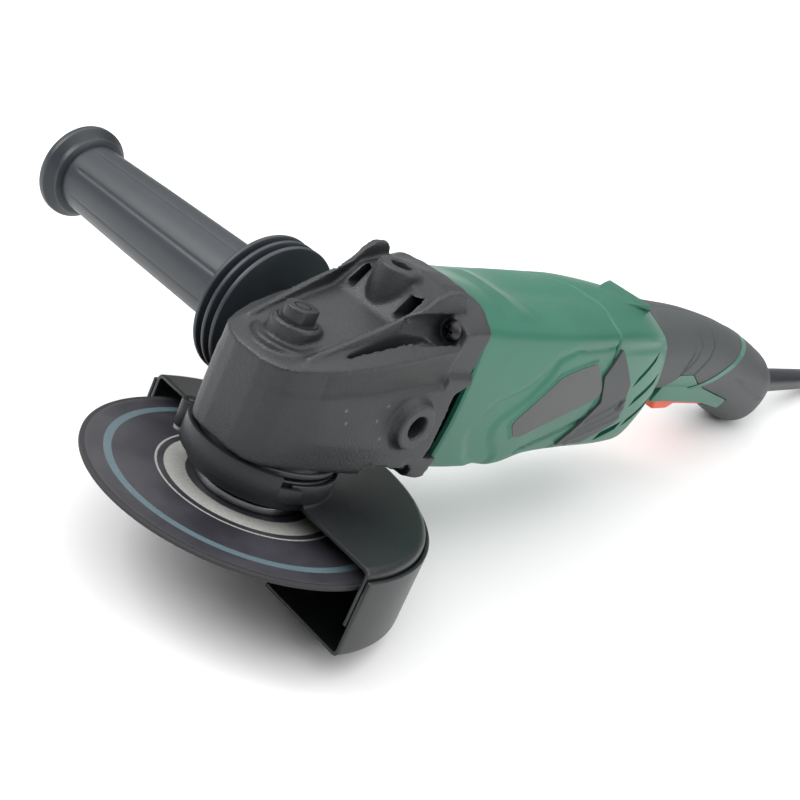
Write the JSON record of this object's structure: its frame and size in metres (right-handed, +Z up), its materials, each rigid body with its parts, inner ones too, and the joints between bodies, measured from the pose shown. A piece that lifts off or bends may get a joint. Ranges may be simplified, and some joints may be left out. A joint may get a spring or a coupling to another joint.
{
  "type": "angle grinder",
  "caption": "Corded angle grinder: cutting disc under a clip-on guard, geared motor, screw-in side handle, slim rear grip with sprung trigger, spindle lock and coiled lead.",
  "frame": {"origin": "centre of the machine at ground height, without its lead, with the guard cover and the tail resting on the ground", "axes": "+X from the gear head back towards the lead, +Y towards the side handle, +Z up"},
  "size_m": [0.6649, 0.3669, 0.1215],
  "materials": {
    "green_plastic": "satin moulded plastic",
    "grey_grip": "soft overmoulded rubber",
    "black_casting": "black coated die casting, satin",
    "black_steel": "black coated sheet steel, satin",
    "blue_grey_plastic": "satin moulded plastic",
    "orange_plastic": "satin moulded plastic",
    "bright_steel": "ground steel",
    "dark_steel": "blackened steel",
    "zinc": "zinc plated steel",
    "copper": "enamelled copper",
    "brass": "pressed brass",
    "carbon": "pressed carbon",
    "abrasive": "resin-bonded abrasive with a printed label",
    "black_rubber": "matt flexible rubber",
    "white_plastic": "matt plastic",
    "black_plastic": "satin moulded plastic"
  },
  "bodies": {
    "machine": {"air_baffle": "black_plastic", "bearing_cover": "black_casting", "brush_holder_left": "brass", "brush_holder_right": "brass", "capacitor": "white_plastic", "carbon_brush_left": "carbon", "carbon_brush_right": "carbon", "case_screw_left_bottom": "dark_steel", "case_screw_left_top": "dark_steel", "case_screw_right_bottom": "dark_steel", "case_screw_right_top": "dark_steel", "cord_clamp": "black_plastic", "cord_coil": "black_rubber", "cord_end": "black_rubber", "cord_lead": "black_rubber", "field_coil_left": "copper", "field_coil_right": "copper", "front_bearing": "bright_steel", "gear_case": "black_casting", "handle_band": "green_plastic", "handle_end_ring": "green_plastic", "handle_shell_left": "grey_grip", "handle_shell_right": "grey_grip", "handle_tail": "grey_grip", "inner_lead": "black_rubber", "motor_housing": "green_plastic", "plug": "black_rubber", "rating_plate_left": "black_plastic", "rating_plate_right": "black_plastic", "rear_bearing": "bright_steel", "rear_cover": "green_plastic", "side_insert_left": "grey_grip", "side_insert_right": "grey_grip", "spindle_bearing": "bright_steel", "spindle_bush": "brass", "stator_core": "dark_steel", "strain_relief": "black_rubber", "switch_body": "black_plastic", "trigger_pin": "bright_steel"},
    "spindle_set": {"spindle": "bright_steel", "crown_gear": "dark_steel", "inner_flange": "zinc", "cutting_disc": "abrasive", "clamping_nut": "zinc"},
    "armature": {"armature_shaft": "bright_steel", "armature_core": "dark_steel", "commutator": "copper", "cooling_fan": "black_plastic", "pinion": "dark_steel"},
    "spindle_lock": {"lock_button": "black_plastic"},
    "trigger_lever": {"trigger": "orange_plastic"},
    "plunger": {"switch_plunger": "white_plastic"},
    "guard": {"upper_guard": "black_steel", "lower_guard_cover": "black_steel", "clamp_band": "black_steel", "lever_pin": "bright_steel"},
    "guard_clamp": {"clamp_lever": "black_steel"},
    "handle_stud": {"side_handle_stud": "zinc"},
    "side_grip": {"side_handle_grip": "blue_grey_plastic"}
  },
  "joints": [
    {"name": "spindle_spin", "type": "hinge", "parent": "machine", "child": "spindle_set", "pos_m": [-0.15153, -0.0551, 0.04171], "axis": [0.1522, 0, 0.9884], "continuous": true},
    {"name": "armature_spin", "type": "hinge", "parent": "machine", "child": "armature", "pos_m": [-0.05649, -0.0551, 0.06755], "axis": [0.9884, 0, -0.1522], "continuous": true},
    {"name": "lock_button_press", "type": "slide", "parent": "machine", "child": "spindle_lock", "axis": [-0.1522, 0, -0.9884], "range_m": [0, 0.0045], "stiffness_N_per_m": 500, "springref_m": -0.002},
    {"name": "trigger_pull", "type": "hinge", "parent": "machine", "child": "trigger_lever", "pos_m": [0.14909, -0.0551, 0.02932], "axis": [0, 1, 0], "range_deg": [0, 5.5], "stiffness_Nm_per_rad": 3, "springref_deg": -2.86},
    {"name": "plunger_push", "type": "slide", "parent": "machine", "child": "plunger", "axis": [0.1522, 0, 0.9884], "range_m": [0, 0.0033]},
    {"name": "guard_turn", "type": "hinge", "parent": "machine", "child": "guard", "pos_m": [-0.15046, -0.0551, 0.04863], "axis": [0.1522, 0, 0.9884], "range_deg": [-60, 60]},
    {"name": "guard_lever_open", "type": "hinge", "parent": "guard", "child": "guard_clamp", "pos_m": [-0.16582, -0.02949, 0.05403], "axis": [-0.1522, 0, -0.9884], "range_deg": [0, 100]},
    {"name": "side_handle_out", "type": "slide", "parent": "machine", "child": "handle_stud", "axis": [0, 1, 0], "range_m": [0, 0.01375]},
    {"name": "side_handle_turn", "type": "hinge", "parent": "handle_stud", "child": "side_grip", "pos_m": [-0.11273, -0.0151, 0.07287], "axis": [0, 1, 0], "range_deg": [0, 3960]}
  ],
  "couplings": [
    {"joint": "armature_spin", "follows": "spindle_spin", "ratio": 3.3333},
    {"joint": "plunger_push", "follows": "trigger_pull", "m_per_rad": 0.033},
    {"joint": "side_handle_out", "follows": "side_handle_turn", "m_per_rad": 0.00019894}
  ]
}
